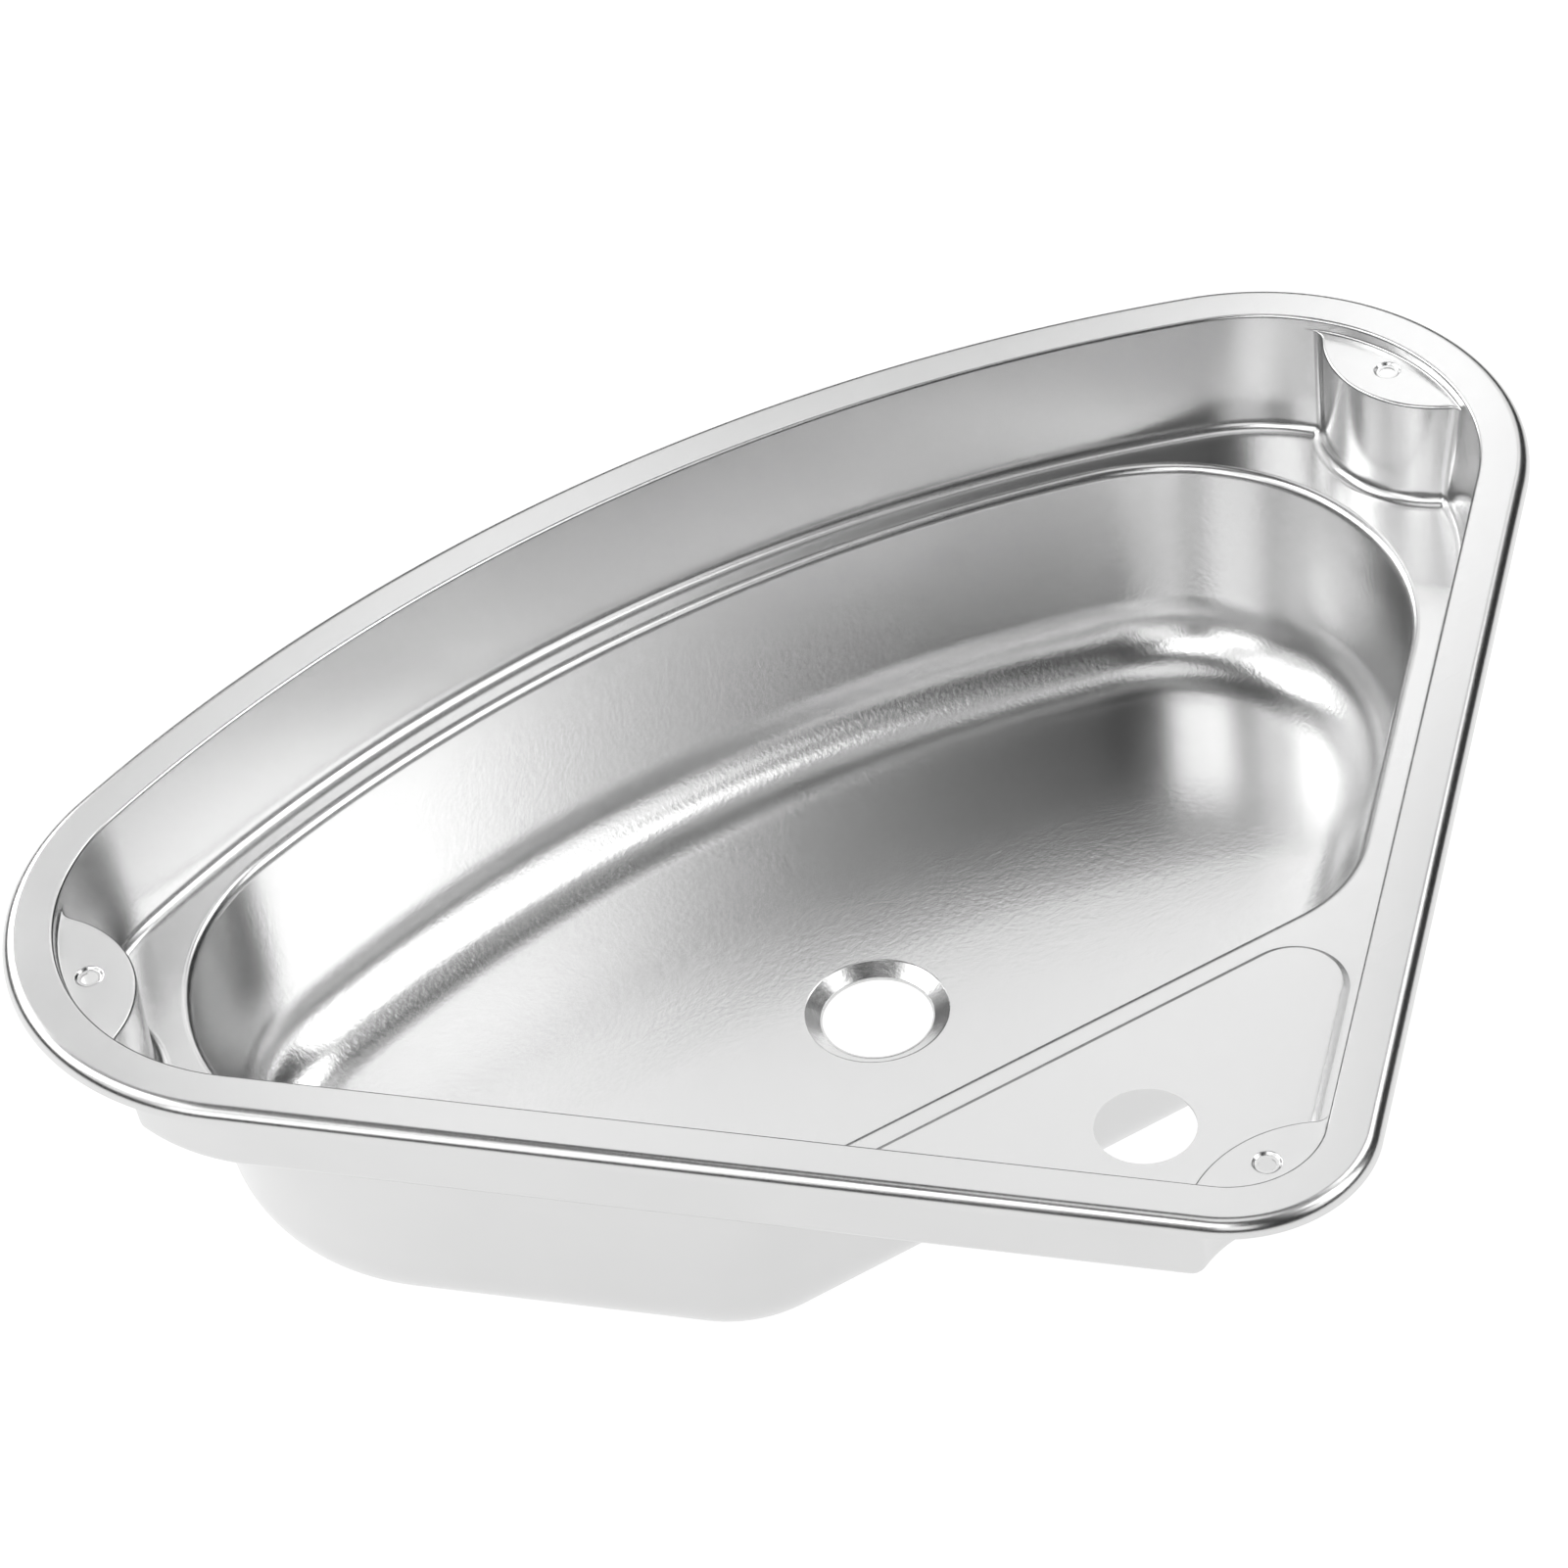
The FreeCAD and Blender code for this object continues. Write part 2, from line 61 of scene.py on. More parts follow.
right = Vector((math.cos(VIEW_TURN), math.sin(VIEW_TURN), 0))
back = Vector((math.sin(VIEW_TURN) * math.cos(VIEW_TILT),
               -math.cos(VIEW_TURN) * math.cos(VIEW_TILT), math.sin(VIEW_TILT)))
up = back.cross(right)
leaning_right = right * math.cos(VIEW_ROLL) + up * math.sin(VIEW_ROLL)
leaning_up = up * math.cos(VIEW_ROLL) - right * math.sin(VIEW_ROLL)

camera_data = bpy.data.cameras.new("studio_camera")
camera_data.lens = LENS
camera_data.sensor_width = 36
camera = bpy.data.objects.new("studio_camera", camera_data)
turn = Matrix((leaning_right, leaning_up, back)).transposed()
camera.matrix_world = Matrix.Translation(VIEW_PLACE) @ turn.to_4x4()
bpy.context.collection.objects.link(camera)
bpy.context.scene.camera = camera
print("camera", [round(v, 3) for v in camera.location])

# %% [markdown]
# ## The sheet's sizes
# The sink is deep-drawn: a flat blank of steel is pulled over tools until it has a rolled edge, a
# shallow basin, a ledge for the tap and a deep bowl. The measured model has the right shape, but its
# triangles are uneven, and polished steel shows every one of them. Weighted normals alone would only
# hide some of that. So the sheet is drawn again from the same sizes in even rows of four-sided
# faces, which give clean reflections along the long curves.
#
# All sizes are in millimetres in the corner frame: the straight edges would meet at the origin, at
# the flange's level, and Y runs along the diagonal into the room.

# %% The sizes of the sheet
GAUGE = 0.8             # thickness of the steel
CORNER_ROUND = 45.2     # flange corner that points at the user
END_ROUND = 98.0        # flange end corners
BOW_ROUND = 626.8       # long bowed edge
BOW_DEPTH = 474.5       # corner to the middle of the bowed edge
ROLL = 4.9              # rolled edge
ROLL_SKIRT = 5.7        # how far down it comes
MOUTH_INSET = 13.4      # flange edge to the basin wall
MOUTH_SOFT = 1.4
BASIN_DRAFT = math.radians(6)
PAD = -4.9              # level of the screw pads
LEDGE = -50.3
FOOT = 5.0              # round where walls meet the ledge
FLOOR = -138.6
DISH_DROP = 3.7         # the waste's dish, below the floor

HALF_DEPTH = (CORNER_ROUND * (math.sqrt(2) - 1) + BOW_DEPTH) / 2
HEIGHT = -FLOOR + DISH_DROP + GAUGE


def in_place(x, y, z):
    """A point of the corner frame in metres in the model's frame."""
    return Vector((x, y - HALF_DEPTH, z + HEIGHT)) * MM


print("the part is %.1f mm high" % HEIGHT)

# %% [markdown]
# ## Where the corners turn
# Seen from above, every edge of a pressed sink is straight runs and arcs, each tangent to the next.
# All outlines of one family share their centres, so these are worked out once. The sink is the same
# on both sides of its diagonal, so only its right half is drawn, and mirrored at the end.

# %% Centres and directions
EIGHTH = math.radians(45)
BOW_CENTRE = Vector((0, BOW_DEPTH - BOW_ROUND))
CORNER = Vector((0, math.sqrt(2) * CORNER_ROUND))


def heading(angle):
    return Vector((math.cos(angle), math.sin(angle)))


def end_corner(side, bow, end):
    """Centre of a right end corner that touches the straight side and the bow."""
    lift = math.sqrt(2) * (side + end)
    sag = lift - BOW_CENTRE.y
    x = (math.sqrt(2 * (bow - end) ** 2 - sag ** 2) - sag) / 2
    return Vector((x, x + lift))


def bow_turn(centre):
    """Direction in which an end corner hands over to the bow."""
    return math.atan2(centre.y - BOW_CENTRE.y, centre.x)


END = end_corner(0, BOW_ROUND, END_ROUND)
END_TURN = bow_turn(END)
END_MIDDLE = (END_TURN - EIGHTH) / 2
SIDE_OUT = heading(-EIGHTH)     # outward from the right straight side
print("end corner centre", [round(v, 1) for v in END],
      "bow from %.1f degrees" % math.degrees(END_TURN))

# %% [markdown]
# ## Carrying a profile round an outline
# A pressed rim or wall is one profile carried round the outline. Blender's curve bevel could do it,
# but it leaves no say over where the rows of faces fall. Here the profile is a row of edges: it is
# spun about each corner's centre and extruded along each straight run, so every row is exact.

# %% Draw, round and carry a profile
sheet = bmesh.new()


def rounded(before, corner, after, radius, steps):
    """Points of the arc that rounds a profile's corner."""
    a = (before - corner).normalized()
    b = (after - corner).normalized()
    half = a.angle(b) / 2
    centre = corner + (a + b).normalized() * radius / math.sin(half)
    first = corner + a * radius / math.tan(half) - centre
    last = corner + b * radius / math.tan(half) - centre
    turned = math.atan2(first.x * last.y - first.y * last.x, first.dot(last))
    points = []
    for step in range(steps + 1):
        ray = first.copy()
        ray.rotate(Matrix.Rotation(turned * step / steps, 2))
        points.append(centre + ray)
    return points


def draw(places):
    """A row of edges through places of the corner frame."""
    verts = [sheet.verts.new(in_place(*place)) for place in places]
    return verts + [sheet.edges.new(pair) for pair in zip(verts, verts[1:])]


def stand(profile, start, outward):
    """Draws a profile of inset and height at a point of the outline."""
    return draw([(*(start - outward * inset), z) for inset, z in profile])


def turn_on(row, centre, angle, steps):
    """Spins the row about an upright axis and gives back its last copy."""
    made = bmesh.ops.spin(sheet, geom=row, cent=in_place(*centre, 0), axis=(0, 0, 1),
                          angle=angle, steps=steps)
    return [part for part in made["geom_last"] if not isinstance(part, bmesh.types.BMFace)]


def run_on(row, run, steps):
    """Extrudes the row straight on, a step at a time."""
    for step in range(steps):
        edges = [part for part in row if isinstance(part, bmesh.types.BMEdge)]
        made = bmesh.ops.extrude_edge_only(sheet, edges=edges)["geom"]
        verts = [part for part in made if isinstance(part, bmesh.types.BMVert)]
        bmesh.ops.translate(sheet, verts=verts, vec=Vector((*run, 0)) * MM / steps)
        row = verts + [part for part in made if isinstance(part, bmesh.types.BMEdge)
                       and part.verts[0] in verts and part.verts[1] in verts]
    return row


INWARDS = Vector((100, 0))      # any point further in, for the direction of a flat
print("ready to carry profiles")

# %% [markdown]
# ## Pillars in the basin
# Three pillars stand in the basin's corners and carry the pads for the fixing screws. Each is round,
# and where it runs into the basin wall the press leaves a soft inside corner. A boolean and a bevel
# could make that, at the cost of ragged faces. Instead the basin's outline is worked out at any
# depth with the pillars in it: wall, inside corner, pillar, inside corner, wall.

# %% Where pillars and walls blend
FLANGE_TIP = CORNER_ROUND * (math.sqrt(2) - 1)  # where the flange starts on the diagonal
END_PILLAR_OUT = 5.3    # pillars' centres past the flange's edge
CORNER_PILLAR_OUT = 9.7
END_PILLAR_ROUND = 43.6
CORNER_PILLAR_ROUND = 46.6
END_PILLAR = END + heading(END_MIDDLE) * (END_ROUND + END_PILLAR_OUT)
CORNER_PILLAR = Vector((0, FLANGE_TIP - CORNER_PILLAR_OUT))
BLEND = FOOT / math.cos(BASIN_DRAFT)    # a blend's centre to the leaning wall, level


def wall_inset(z):
    return MOUTH_INSET - z * math.tan(BASIN_DRAFT)


def corner_blend_centre(z):
    """Centre of the inside corner between the corner pillar and the right side."""
    inset = math.sqrt(2) * (wall_inset(z) + BLEND) - CORNER_PILLAR.y
    reach = CORNER_PILLAR_ROUND + FOOT
    x = (math.sqrt(2 * reach ** 2 - inset ** 2) - inset) / 2
    return Vector((x, x + inset + CORNER_PILLAR.y))


def end_blend(z):
    """The end pillar's inside corners: how far to each side, and how far out, from END."""
    near = END_ROUND - wall_inset(z) - BLEND
    far = (END_PILLAR - END).length
    reach = END_PILLAR_ROUND + FOOT
    return math.acos((near ** 2 + far ** 2 - reach ** 2) / (2 * near * far)), near


TIP_TURN = end_blend(PAD)[0]
CORNER_TIP = corner_blend_centre(PAD) + SIDE_OUT * (wall_inset(PAD) + BLEND)
print("end pads reach %.1f degrees to each side" % math.degrees(TIP_TURN))

# %% [markdown]
# ## Rolled edge, flange and mouth
# The flange's outer edge is rolled down to a drip edge, and its inner edge turns down into the
# basin. The profile runs from the drip edge over the flange to just above the screw pads. Its steps
# are laid so that a row of faces starts at each tip of a pad.

# %% Carry the rim's profile
COVE = 1.0              # soft inside corner where the wall stands on a pad
mouth_foot = Vector((wall_inset(PAD + COVE), PAD + COVE))
roll_foot = Vector((-ROLL, -ROLL_SKIRT))
roll_top = Vector((-ROLL, 0))
mouth_top = Vector((MOUTH_INSET, 0))
rim_profile = [roll_foot] + rounded(roll_foot, roll_top, mouth_top, ROLL, 12)
rim_profile += rounded(roll_top, mouth_top, mouth_foot, MOUTH_SOFT, 8) + [mouth_foot]

corner_side = CORNER + SIDE_OUT * CORNER_ROUND
end_side = END + SIDE_OUT * END_ROUND
row = stand(rim_profile, CORNER - Vector((0, CORNER_ROUND)), Vector((0, -1)))
row = turn_on(row, CORNER, EIGHTH, 20)
row = run_on(row, CORNER_TIP - corner_side, 8)
row = run_on(row, end_side - CORNER_TIP, 8)
row = turn_on(row, END, END_MIDDLE - TIP_TURN + EIGHTH, 14)
row = turn_on(row, END, 2 * TIP_TURN, 30)
row = turn_on(row, END, END_TURN - END_MIDDLE - TIP_TURN, 14)
row = turn_on(row, BOW_CENTRE, 2 * EIGHTH - END_TURN, 40)
print("rim:", len(sheet.faces), "faces")

# %% [markdown]
# ## The basin's outline at a depth
# Below the flange the outline changes with depth, because the walls lean and the pillars don't, so
# no spin can make it. It is a chain of points, each with its outward direction and its share of
# pillar, from 0 on the wall to 1 on the pillar.

# %% Chains of points
BLEND_STEPS = 8


def arc(centre, radius, start, stop, steps, share=0, outward=1):
    """Points on an arc, each with its outward direction and its share of pillar."""
    points = []
    for step in range(steps + 1):
        way = heading(start + (stop - start) * step / steps)
        points.append((centre + way * radius, way * outward, share))
    return points


def straight(start, stop, steps):
    return [(start.lerp(stop, step / steps), SIDE_OUT, 0) for step in range(steps + 1)]


def blend(centre, start, stop, first_share, last_share):
    """An inside corner that runs from wall to pillar, or back."""
    points = []
    for step in range(BLEND_STEPS + 1):
        share = first_share + (last_share - first_share) * step / BLEND_STEPS
        way = heading(start + (stop - start) * step / BLEND_STEPS)
        points.append((centre + way * FOOT / math.cos(BASIN_DRAFT * (1 - share)), way, share))
    return points


def chain(*spans):
    """Spans joined end to end, with each joint's point kept once."""
    points = list(spans[0])
    for span in spans[1:]:
        points.extend(span[1:])
    return points


def angle_of(ray):
    return math.atan2(ray.y, ray.x)


def basin_chain(z):
    """Right half of the basin's outline at a depth, from the corner pillar to the bow's middle."""
    inset = wall_inset(z)
    corner_blend = corner_blend_centre(z)
    leave = angle_of(corner_blend - CORNER_PILLAR)
    turned, near = end_blend(z)
    first = END_MIDDLE - turned
    second = END_MIDDLE + turned
    first_centre = END + heading(first) * near
    second_centre = END + heading(second) * near
    meet = angle_of(first_centre - END_PILLAR) % math.tau
    part = angle_of(second_centre - END_PILLAR) % math.tau
    return chain(
        arc(CORNER_PILLAR, CORNER_PILLAR_ROUND, 2 * EIGHTH, leave, 20, 1, -1),
        blend(corner_blend, leave - 4 * EIGHTH, -EIGHTH, 1, 0),
        straight(corner_blend + SIDE_OUT * BLEND, END + SIDE_OUT * (END_ROUND - inset), 8),
        arc(END, END_ROUND - inset, -EIGHTH, first, 14),
        blend(first_centre, first, meet - 4 * EIGHTH, 0, 1),
        arc(END_PILLAR, END_PILLAR_ROUND, meet, part, 24, 1, -1),
        blend(second_centre, part - 4 * EIGHTH, second, 1, 0),
        arc(END, END_ROUND - inset, second, END_TURN, 14),
        arc(BOW_CENTRE, BOW_ROUND - inset, END_TURN, 2 * EIGHTH, 40),
    )


print("points in half the basin's outline:", len(basin_chain(LEDGE)))

# %% [markdown]
# ## Lowering a row
# The outline's edges are extruded and each new point is moved to its place in the next outline.
# Extruding copies the layers of a vertex, so each vertex carries its number along the chain in one.

# %% Extrude a chain from depth to depth
order = sheet.verts.layers.int.new("order")


def lower(rows):
    """Draws the first row of places and extrudes it through all the others."""
    row = draw(rows[0])
    for number, vert in enumerate(row[:len(rows[0])]):
        vert[order] = number
    for places in rows[1:]:
        edges = [part for part in row if isinstance(part, bmesh.types.BMEdge)]
        made = bmesh.ops.extrude_edge_only(sheet, edges=edges)["geom"]
        verts = {part for part in made if isinstance(part, bmesh.types.BMVert)}
        for vert in verts:
            vert.co = in_place(*places[vert[order]])
        row = [part for part in made if isinstance(part, bmesh.types.BMEdge)
               and part.verts[0] in verts and part.verts[1] in verts]


def softened(radius, height):
    """How far a round of this radius stands off at a height over its level."""
    if height >= radius:
        return 0.0
    return radius - math.sqrt(radius ** 2 - (radius - height) ** 2)


print("softening a 1 mm edge at its middle by %.2f mm" % softened(1, 0.5))

# %% [markdown]
# ## Soft corners along the pads
# The wall meets each pad in a small inside corner, and the pad's free edge is drawn round, which is
# what catches the light on a pressed edge. Both fade out at the pad's two tips.

# %% Lower the wall onto the pads
FADE = 8.0              # they fade out over this length
COVE_STEPS = (1.0, 0.62, 0.3, 0.1, 0.0)     # closer together towards the pad
side_points = straight(corner_side, CORNER_TIP, 8)
rim_chain = chain(
    arc(CORNER, CORNER_ROUND, -2 * EIGHTH, -EIGHTH, 20),
    side_points,
    straight(CORNER_TIP, end_side, 8),
    arc(END, END_ROUND, -EIGHTH, END_MIDDLE - TIP_TURN, 14),
    arc(END, END_ROUND, END_MIDDLE - TIP_TURN, END_MIDDLE + TIP_TURN, 30),
    arc(END, END_ROUND, END_MIDDLE + TIP_TURN, END_TURN, 14),
    arc(BOW_CENTRE, BOW_ROUND, END_TURN, 2 * EIGHTH, 40),
)
end_tips = [END + heading(END_MIDDLE + side * TIP_TURN) * END_ROUND for side in (-1, 1)]


def cove_at(point):
    """The inside corner's radius at a point of the flange edge."""
    if point.x < CORNER_TIP.x and point.y < CORNER_TIP.y:
        gap = (CORNER_TIP - point).length
    elif abs(angle_of(point - END) - END_MIDDLE) < TIP_TURN:
        gap = min((tip - point).length for tip in end_tips)
    else:
        gap = 0.0
    return COVE * min(1.0, gap / FADE)


cove_rows = []
for share in COVE_STEPS:
    z = PAD + share * COVE
    places = []
    for point, way, _ in rim_chain:
        inset = wall_inset(z) + softened(cove_at(point), z - PAD)
        places.append((*(point - way * inset), z))
    cove_rows.append(places)
lower(cove_rows)
print("pads' inside corners:", len(cove_rows), "rows")

# %% [markdown]
# ## The basin wall, down to the ledge
# The wall leans in by 6 degrees, the pillars are upright, and both are rounded into the ledge with
# the same radius, so the blends end in a quarter of a ball.

# %% Lower the basin
PAD_SOFT = 1.2          # round of the pads' free edges
EDGE_STEPS = (0, 0.04, 0.14, 0.32, 0.6, 1)  # closer together near the pad
WALL_ROWS = 6
FOOT_ROWS = 12


def basin_row(z):
    places = []
    for point, way, share in basin_chain(z):
        places.append((*(point + way * softened(PAD_SOFT * share, PAD - z)), z))
    return places


foot_level = LEDGE + FOOT
wall_top = PAD - PAD_SOFT
basin_rows = [basin_row(PAD - PAD_SOFT * drop) for drop in EDGE_STEPS]
for step in range(1, WALL_ROWS + 1):
    basin_rows.append(basin_row(wall_top + (foot_level - wall_top) * step / WALL_ROWS))
for step in range(FOOT_ROWS + 1):
    places = []
    for point, way, share in basin_chain(foot_level):
        draft = BASIN_DRAFT * (1 - share)
        dip = draft + (2 * EIGHTH - draft) * step / FOOT_ROWS
        centre = point - way * FOOT / math.cos(draft)
        places.append((*(centre + way * FOOT * math.cos(dip)), foot_level - FOOT * math.sin(dip)))
    basin_rows.append(places)
lower(basin_rows)
print("basin:", len(basin_rows), "rows")

# %% [markdown]
# ## The bowl
# The bowl has a straight front under the tap ledge, sides parallel to the flange, and a bow of its
# own. Its wall leans in a little and meets the floor in a wide round, which the eye reads as depth.
# Nothing stands in it, so its profile is carried like the rim's.

# %% Carry the bowl's profile
BOWL_SIDE = 33.2        # flange edge to the bowl's side
BOWL_BOW = BOW_ROUND - 30.9
BOWL_FRONT = 171.9      # corner to the bowl's front
BOWL_END_ROUND = 92.5
BOWL_FRONT_ROUND = 54.6
BOWL_DRAFT = math.radians(3.4)
BOWL_LIP = 4.0          # round between ledge and bowl
BOWL_FOOT = 29.5        # round between bowl and floor

bowl_mouth = Vector((0, LEDGE))
bowl_foot = Vector(((LEDGE - FLOOR) * math.tan(BOWL_DRAFT), FLOOR))
bowl_profile = rounded(bowl_mouth - INWARDS, bowl_mouth, bowl_foot, BOWL_LIP, 10)
bowl_profile += rounded(bowl_mouth, bowl_foot, bowl_foot + INWARDS, BOWL_FOOT, 24)

bowl_end = end_corner(BOWL_SIDE, BOWL_BOW, BOWL_END_ROUND)
bowl_turn = bow_turn(bowl_end)
front_lift = BOWL_FRONT + BOWL_FRONT_ROUND
bowl_front = Vector((front_lift - math.sqrt(2) * (BOWL_SIDE + BOWL_FRONT_ROUND), front_lift))
before = len(sheet.faces)
row = stand(bowl_profile, Vector((0, BOWL_FRONT)), Vector((0, -1)))
row = run_on(row, (bowl_front.x, 0), 6)
row = turn_on(row, bowl_front, EIGHTH, 16)
row = run_on(row, bowl_end - bowl_front + SIDE_OUT * (BOWL_END_ROUND - BOWL_FRONT_ROUND), 8)
row = turn_on(row, bowl_end, bowl_turn + EIGHTH, 44)
row = turn_on(row, BOW_CENTRE, 2 * EIGHTH - bowl_turn, 36)
print("bowl:", len(sheet.faces) - before, "faces")

# %% [markdown]
# ## The tap platform
# The tap stands on a low triangular platform, pressed up by less than two millimetres so that water
# runs off it. Its edge is a third profile, carried round a third outline.

# %% Carry the platform's profile
PLATFORM_SIDE = 25.5
PLATFORM_FRONT = 162.0
PLATFORM_TIP_ROUND = 72.0
PLATFORM_END_ROUND = 19.0
PLATFORM_RISE = 1.8
PLATFORM_SLOPE = math.radians(50)
PLATFORM_SOFT = 1.3
PLATFORM = LEDGE + PLATFORM_RISE

platform_foot = Vector((0, LEDGE))
platform_top = Vector((PLATFORM_RISE * math.tan(PLATFORM_SLOPE), PLATFORM))
platform_profile = rounded(platform_foot - INWARDS, platform_foot, platform_top, PLATFORM_SOFT, 5)
platform_profile += rounded(platform_foot, platform_top, platform_top + INWARDS, PLATFORM_SOFT, 5)

tip_centre = Vector((0, math.sqrt(2) * (PLATFORM_SIDE + PLATFORM_TIP_ROUND)))
far_lift = PLATFORM_FRONT - PLATFORM_END_ROUND
far_centre = Vector((far_lift - math.sqrt(2) * (PLATFORM_SIDE + PLATFORM_END_ROUND), far_lift))
before = len(sheet.faces)
row = stand(platform_profile, tip_centre - Vector((0, PLATFORM_TIP_ROUND)), Vector((0, -1)))
row = turn_on(row, tip_centre, EIGHTH, 16)
side_run = far_centre - tip_centre + SIDE_OUT * (PLATFORM_END_ROUND - PLATFORM_TIP_ROUND)
row = run_on(row, side_run, 4)
row = turn_on(row, far_centre, 3 * EIGHTH, 20)
row = run_on(row, (-far_centre.x, 0), 8)
print("platform:", len(sheet.faces) - before, "faces")

# %% [markdown]
# ## The other half
# The half sheet is mirrored across the diagonal and its doubled points are merged, so that the
# middle shows no seam.

# %% Mirror and merge
CLOSE = 0.000002        # metres
half = sheet.verts[:] + sheet.edges[:] + sheet.faces[:]
bmesh.ops.mirror(sheet, geom=half, axis="X", merge_dist=CLOSE)
bmesh.ops.remove_doubles(sheet, verts=sheet.verts[:], dist=CLOSE)
bmesh.ops.dissolve_degenerate(sheet, edges=sheet.edges[:], dist=CLOSE)
print("faces so far:", len(sheet.faces))

# %% [markdown]
# ## Holes, dimples and the waste's dish
# The waste hole lies in a dish, and each screw hole in a dimple that hides the screw's head. They
# are round, so each is a short profile spun about its axis. The tap hole is plain.

# %% Spin the dish and the dimples
WASTE = 298.5           # corner to the waste hole
WASTE_ROUND = 20.5
DISH_ROUND = 26.9
DISH_LEAN = math.radians(57)    # of its wall from upright
DISH_LIP = 1.6
TAP = 115.8             # corner to the tap hole
TAP_ROUND = 17.5
SCREW_ROUND = 3.0
DIMPLE_ROUND = 5.0
DIMPLE_FOOT = 4.1
DIMPLE_DROP = 0.9
DIMPLE_LIP = 0.6
TIGHT = 0.4             # the press's smallest inside round
END_SCREW_IN = 22.7     # screw holes from the flange's edge
CORNER_SCREW_IN = 24.2


def spin_round(profile, x, y, steps):
    """Spins a profile of radius and height about an upright axis."""
    bmesh.ops.spin(sheet, geom=draw([(x + radius, y, z) for radius, z in profile]),
                   cent=in_place(x, y, 0), axis=(0, 0, 1), angle=math.tau, steps=steps, use_merge=True)


dish_edge = Vector((DISH_ROUND, FLOOR))
dish_foot = Vector((DISH_ROUND - DISH_DROP * math.tan(DISH_LEAN), FLOOR - DISH_DROP))
dish = rounded(dish_edge + INWARDS, dish_edge, dish_foot, DISH_LIP, 6)
dish += rounded(dish_edge, dish_foot, dish_foot - INWARDS, TIGHT, 3)
dish.append(Vector((WASTE_ROUND, FLOOR - DISH_DROP)))
spin_round(dish, 0, WASTE, 96)

dimple_edge = Vector((DIMPLE_ROUND, PAD))
dimple_foot = Vector((DIMPLE_FOOT, PAD - DIMPLE_DROP))
dimple = rounded(dimple_edge + INWARDS, dimple_edge, dimple_foot, DIMPLE_LIP, 3)
dimple += rounded(dimple_edge, dimple_foot, dimple_foot - INWARDS, TIGHT, 3)
dimple.append(Vector((SCREW_ROUND, PAD - DIMPLE_DROP)))
end_screw = END + heading(END_MIDDLE) * (END_ROUND - END_SCREW_IN)
corner_screw = Vector((0, FLANGE_TIP + CORNER_SCREW_IN))
for x, y in (end_screw, (-end_screw.x, end_screw.y), corner_screw):
    spin_round(dimple, x, y, 40)
bmesh.ops.create_circle(sheet, cap_ends=False, radius=TAP_ROUND * MM, segments=96,
                        matrix=Matrix.Translation(in_place(0, TAP, PLATFORM)))
bmesh.ops.remove_doubles(sheet, verts=sheet.verts[:], dist=CLOSE)
print("screw holes at", [round(v, 1) for v in end_screw], [round(v, 1) for v in corner_screw])

# %% [markdown]
# ## Flat faces
# Pads, ledge, platform and floor are flat, so it doesn't matter for the reflections how they are
# divided. Each level's open edges are filled together, which leaves the holes open.

# %% Fill the flats
for level in (PAD, LEDGE, PLATFORM, FLOOR):
    z = in_place(0, 0, level).z
    open_edges = [edge for edge in sheet.edges if len(edge.link_faces) < 2
                  and all(abs(vert.co.z - z) < 5 * CLOSE for vert in edge.verts)]
    made = bmesh.ops.triangle_fill(sheet, edges=open_edges, use_beauty=True, normal=(0, 0, 1))
    filled = [part for part in made["geom"] if isinstance(part, bmesh.types.BMFace)]
    print("level %.1f:" % level, len(filled), "faces")

# %% [markdown]
# ## Thickness
# The sheet is 0.8 mm thick everywhere, which shows at the holes and along the rolled edge. A Solidify
# modifier could give it too, but then no edge could be marked. The normals are made to agree first,
# because the thickness is laid on the side they point away from. The cut edges are marked sharp, and
# weighted normals let the large flats decide the shading where they meet a round.

# %% Give the sheet its gauge
CUT_EDGE = math.radians(50)
bmesh.ops.recalc_face_normals(sheet, faces=sheet.faces[:])
upward = sum(face.normal.z * face.calc_area() for face in sheet.faces)
if upward < 0:
    bmesh.ops.reverse_faces(sheet, faces=sheet.faces[:])
bmesh.ops.solidify(sheet, geom=sheet.faces[:], thickness=GAUGE * MM)
for face in sheet.faces:
    face.smooth = True
for edge in sheet.edges:
    edge.smooth = edge.calc_face_angle() < CUT_EDGE
print("steel:", round(sheet.calc_volume() * 1e6, 1), "cubic centimetres,",
      sum(not edge.smooth for edge in sheet.edges), "sharp edges")

# %% Place the sheet in the scene
sink_mesh = bpy.data.meshes.new("sink_sheet")
sheet.to_mesh(sink_mesh)
sheet.free()
sink = bpy.data.objects.new("sink_sheet", sink_mesh)
bpy.context.collection.objects.link(sink)
shading = sink.modifiers.new("shading", "WEIGHTED_NORMAL")
shading.keep_sharp = True
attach(sink, "root")
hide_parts("sink_pressing")
print("faces of the sheet:", len(sink_mesh.polygons))

# %% [markdown]
# ## Tools for materials
# Colours are picked as sRGB hex values, because that is what a swatch gives, and shaders want linear
# values. One function adds any node with its settings and its links.

# %% Colour and node helpers
def to_linear(hex_colour):
    """An sRGB hex colour as the linear values that shaders use."""
    parts = [int(hex_colour[i:i + 2], 16) / 255 for i in (1, 3, 5)]
    return [c / 12.92 if c <= 0.04045 else ((c + 0.055) / 1.055) ** 2.4 for c in parts] + [1]


def node(tree, kind, settings=None, links=None):
    """Adds one node with its settings, and its links given as input name or number to output."""
    made = tree.nodes.new(kind)
    for name, value in (settings or {}).items():
        if name in made.inputs:
            made.inputs[name].default_value = value
        else:
            setattr(made, name, value)
    for name, socket in (links or {}).items():
        tree.links.new(socket, made.inputs[name])
    return made


def new_material(name):
    """A material with only its Principled shader, the shader's tree and the shader."""
    material = bpy.data.materials.new(name)
    material.use_nodes = True
    return material, material.node_tree, material.node_tree.nodes["Principled BSDF"]


print("steel's grey in linear light: %.2f" % to_linear("#D4D4D4")[0])

